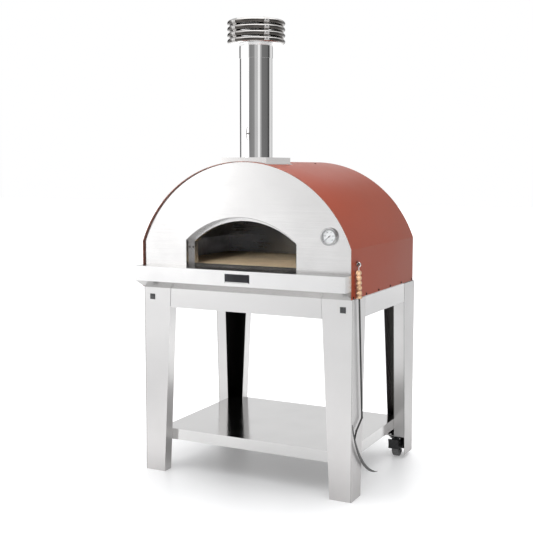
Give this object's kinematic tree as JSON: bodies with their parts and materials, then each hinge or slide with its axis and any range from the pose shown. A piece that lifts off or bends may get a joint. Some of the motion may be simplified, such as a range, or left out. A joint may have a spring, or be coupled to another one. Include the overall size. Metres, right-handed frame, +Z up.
{
  "type": "wood fired pizza oven",
  "caption": "Wood fired pizza oven with an arched red shell, steel front, round flue with ringed cowl, thermometer and hanging fire hook, on a steel cart with rear casters.",
  "frame": {"origin": "on the floor, at the middle of the outline", "axes": "+Z up, -Y towards the mouth side, +X to the right for someone facing the mouth"},
  "size_m": [1.0848, 0.903, 2.1061],
  "materials": {
    "stainless": "satin",
    "polished_steel": "polished",
    "red_coat": "satin",
    "dark_steel": "heat-darkened",
    "black_coat": "satin",
    "black_plastic": "matte",
    "tyre": "matte",
    "firebrick": "rough",
    "blanket": "matte",
    "beech": "satin",
    "gauge_glass": "clear",
    "dial_white": "matte",
    "black_iron": "satin"
  },
  "bodies": {
    "oven": {"leg_front_left": "stainless", "leg_front_right": "stainless", "leg_rear_left": "stainless", "leg_rear_right": "stainless", "apron_front": "stainless", "apron_rear": "stainless", "apron_left": "stainless", "apron_right": "stainless", "lower_shelf": "stainless", "shelf_brackets": "stainless", "leg_caps": "black_plastic", "cart_bolts": "polished_steel", "caster_fork_left": "black_coat", "caster_fork_right": "black_coat", "caster_axles": "polished_steel", "caster_bolts": "polished_steel", "base_tray": "stainless", "outer_shell": "red_coat", "shell_screws": "dark_steel", "face_plate": "stainless", "rear_plate": "stainless", "front_ledge": "stainless", "badge_plate": "black_coat", "mouth_tunnel": "stainless", "door_stop_frame": "stainless", "mouth_screws": "dark_steel", "hearth_sill": "dark_steel", "hearth_bricks": "firebrick", "floor_insulation": "blanket", "inner_vault": "dark_steel", "chamber_rear_wall": "stainless", "chamber_front_wall": "dark_steel", "dome_insulation": "blanket", "flue_spigot": "polished_steel", "collar_box": "polished_steel", "collar_flange": "polished_steel", "flue_pipe": "polished_steel", "cowl_sleeve": "polished_steel", "cowl_rings": "polished_steel", "cowl_straps": "polished_steel", "cowl_cap": "polished_steel", "thermometer_case": "polished_steel", "thermometer_dial": "dial_white", "thermometer_glass": "gauge_glass", "thermometer_probe": "polished_steel", "thermometer_nut": "polished_steel", "tool_hook": "black_iron"},
    "wheel_left": {"caster_hub_left": "black_coat", "caster_tyre_left": "tyre"},
    "wheel_right": {"caster_hub_right": "black_coat", "caster_tyre_right": "tyre"},
    "brake_left": {"brake_pedal_left": "black_coat"},
    "brake_right": {"brake_pedal_right": "black_coat"},
    "damper": {"damper_plate": "dark_steel", "damper_handle": "polished_steel"},
    "pointer": {"thermometer_pointer": "black_plastic"},
    "tool": {"tool_ring": "polished_steel", "tool_handle": "beech", "tool_iron": "black_iron"}
  },
  "joints": [
    {"name": "damper_turn", "type": "hinge", "parent": "oven", "child": "damper", "pos_m": [0, -0.24, 1.596], "axis": [0, 1, 0], "range_deg": [0, 90]},
    {"name": "pointer_turn", "type": "hinge", "parent": "oven", "child": "pointer", "pos_m": [0.421, -0.378, 1.153], "axis": [0, 1, 0], "range_deg": [0, 250], "stiffness_Nm_per_rad": 0.001},
    {"name": "wheel_spin_left", "type": "hinge", "parent": "oven", "child": "wheel_left", "pos_m": [-0.478, 0.378, 0.04], "axis": [1, 0, 0], "continuous": true},
    {"name": "wheel_spin_right", "type": "hinge", "parent": "oven", "child": "wheel_right", "pos_m": [0.478, 0.378, 0.04], "axis": [1, 0, 0], "continuous": true},
    {"name": "brake_press_left", "type": "hinge", "parent": "oven", "child": "brake_left", "pos_m": [-0.478, 0.36, 0.058], "axis": [1, 0, 0], "range_deg": [0, 12]},
    {"name": "brake_press_right", "type": "hinge", "parent": "oven", "child": "brake_right", "pos_m": [0.478, 0.36, 0.058], "axis": [1, 0, 0], "range_deg": [0, 12]},
    {"name": "tool_swing", "type": "hinge", "parent": "oven", "child": "tool", "pos_m": [0.5413, -0.34, 1.0379], "axis": [0, -1, 0], "range_deg": [0, 60]}
  ]
}
